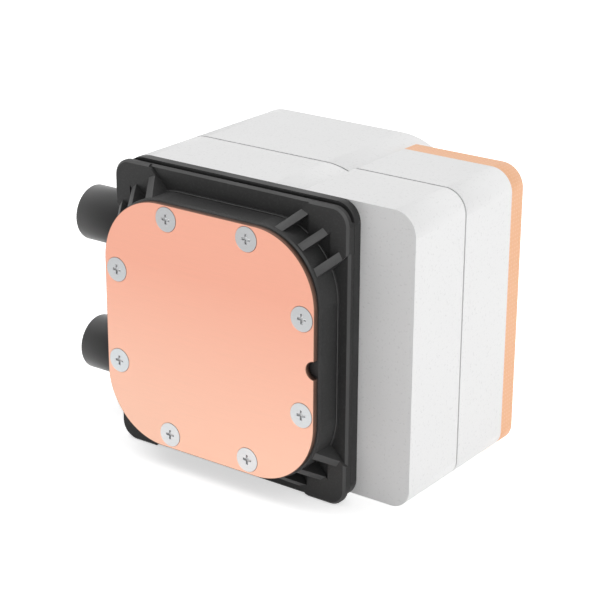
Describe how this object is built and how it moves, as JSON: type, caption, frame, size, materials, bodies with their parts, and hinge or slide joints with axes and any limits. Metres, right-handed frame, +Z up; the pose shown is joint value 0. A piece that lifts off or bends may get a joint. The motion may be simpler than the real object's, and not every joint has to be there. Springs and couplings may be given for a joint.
{
  "type": "cpu liquid cooler pump unit",
  "caption": "Pump unit of an all in one cpu liquid cooler: copper cold plate screwed on a black ribbed body, white housing with a side box, hose ports on the left.",
  "frame": {"origin": "centre of the cold plate's contact face", "axes": "-Y out of the cold plate, +Z up as pictured, -X toward the hose ports"},
  "size_m": [0.0933, 0.0608, 0.067],
  "materials": {
    "copper": "brushed",
    "screw_steel": "satin",
    "black_plastic": "fine grain",
    "inner_plastic": "satin",
    "impeller_plastic": "satin",
    "white_plastic": "fine grain",
    "copper_trim": "satin with fine dots",
    "port_black": "satin",
    "seal_rubber": "matte",
    "magnet": "matte",
    "shaft_ceramic": "polished",
    "bushing_carbon": "satin",
    "stator_steel": "laminated",
    "winding": "lacquered",
    "contact_metal": "plated",
    "board_green": "solder mask",
    "chip_black": "matte",
    "capacitor_can": "satin"
  },
  "bodies": {
    "housing": {"cold_plate": "copper", "cold_plate_screws": "screw_steel", "cold_plate_gasket": "seal_rubber", "jet_plate": "inner_plastic", "pump_body": "black_plastic", "volute_plate": "inner_plastic", "rotor_shaft": "shaft_ceramic", "thrust_washer": "shaft_ceramic", "motor_can": "inner_plastic", "can_seal": "seal_rubber", "can_screws": "screw_steel", "stator_core": "stator_steel", "stator_insulators": "impeller_plastic", "stator_coils": "winding", "motor_pins": "contact_metal", "front_shell": "white_plastic", "rear_shell": "white_plastic", "band_cover": "copper_trim", "body_screws": "screw_steel", "inlet_fitting": "inner_plastic", "outlet_fitting": "inner_plastic", "inlet_seal": "seal_rubber", "outlet_seal": "seal_rubber", "inlet_collar": "port_black", "outlet_collar": "port_black", "control_board": "board_green", "board_chips": "chip_black", "board_capacitors": "capacitor_can", "board_screws": "screw_steel", "power_socket": "inner_plastic", "socket_pins": "contact_metal"},
    "rotor": {"impeller": "impeller_plastic", "rotor_magnet": "magnet", "rotor_bushing": "bushing_carbon"}
  },
  "joints": [
    {"name": "rotor_spin", "type": "hinge", "parent": "housing", "child": "rotor", "pos_m": [0, 0.0145, 0], "axis": [0, 1, 0], "continuous": true}
  ]
}
